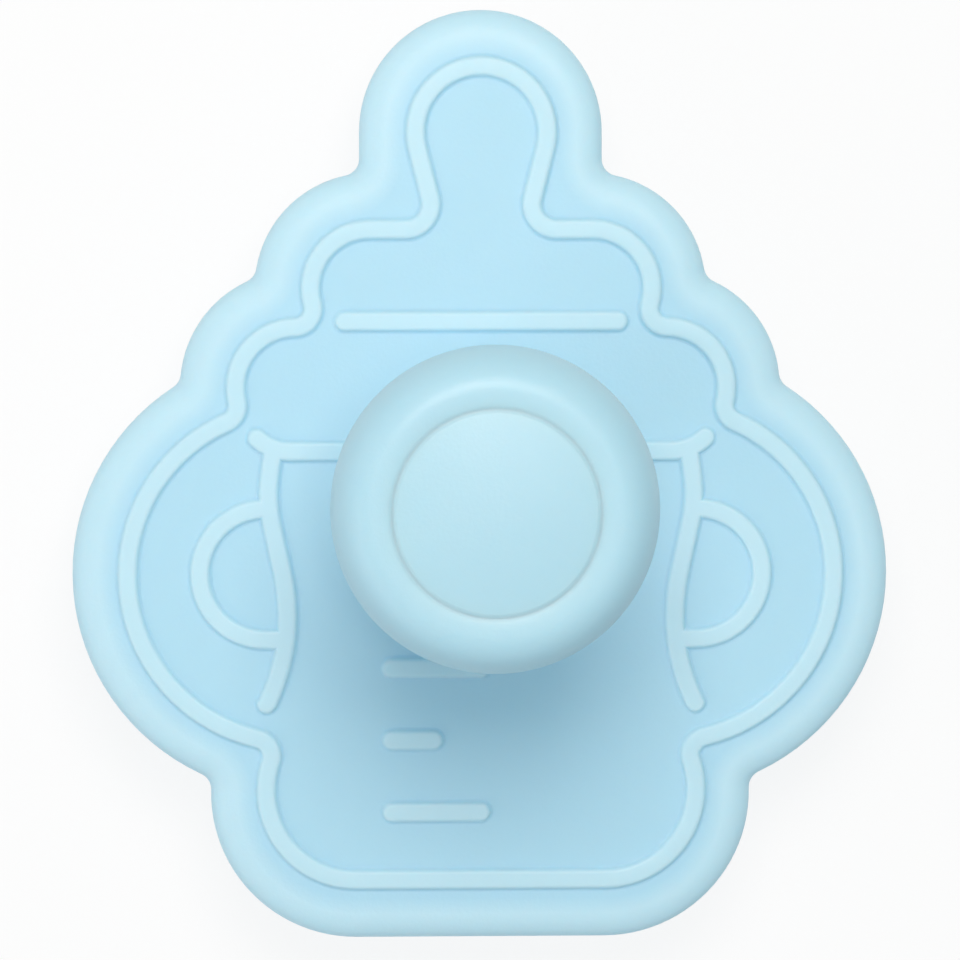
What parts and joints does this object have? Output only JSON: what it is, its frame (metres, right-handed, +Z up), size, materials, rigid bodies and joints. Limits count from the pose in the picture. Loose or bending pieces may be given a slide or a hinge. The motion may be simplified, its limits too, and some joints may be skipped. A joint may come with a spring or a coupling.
{
  "type": "plunger cutter",
  "caption": "Spring-return plunger cutter that cuts and embosses rolled dough or sugar paste in the outline of a two-handled feeding bottle.",
  "frame": {"origin": "on the plunger's axis, in the plane of the cutting edge that the cutter stands on", "axes": "+Z up along the plunger, from the cutting edge to the knob; +Y in the deck's plane, from the bottle's base to its teat; +X to the right, seen from above with the teat at the top"},
  "size_m": [0.0618, 0.0704, 0.047],
  "materials": {
    "body_plastic": "satin moulded",
    "knob_plastic": "satin moulded",
    "spring_steel": "bright drawn wire",
    "screw_steel": "bright zinc"
  },
  "bodies": {
    "cutter": {"cutter_body": "body_plastic", "return_spring": "spring_steel"},
    "plunger": {"stamp_plate": "body_plastic", "plunger_stem": "body_plastic", "knob": "knob_plastic", "knob_cap": "knob_plastic", "knob_screw": "screw_steel", "knob_washer": "screw_steel"}
  },
  "joints": [
    {"name": "plunger_slide", "type": "slide", "parent": "cutter", "child": "plunger", "axis": [0, 0, 1], "range_m": [-0.0092, 0], "stiffness_N_per_m": 400, "springref_m": 0.004, "deforming": ["return_spring"]}
  ]
}
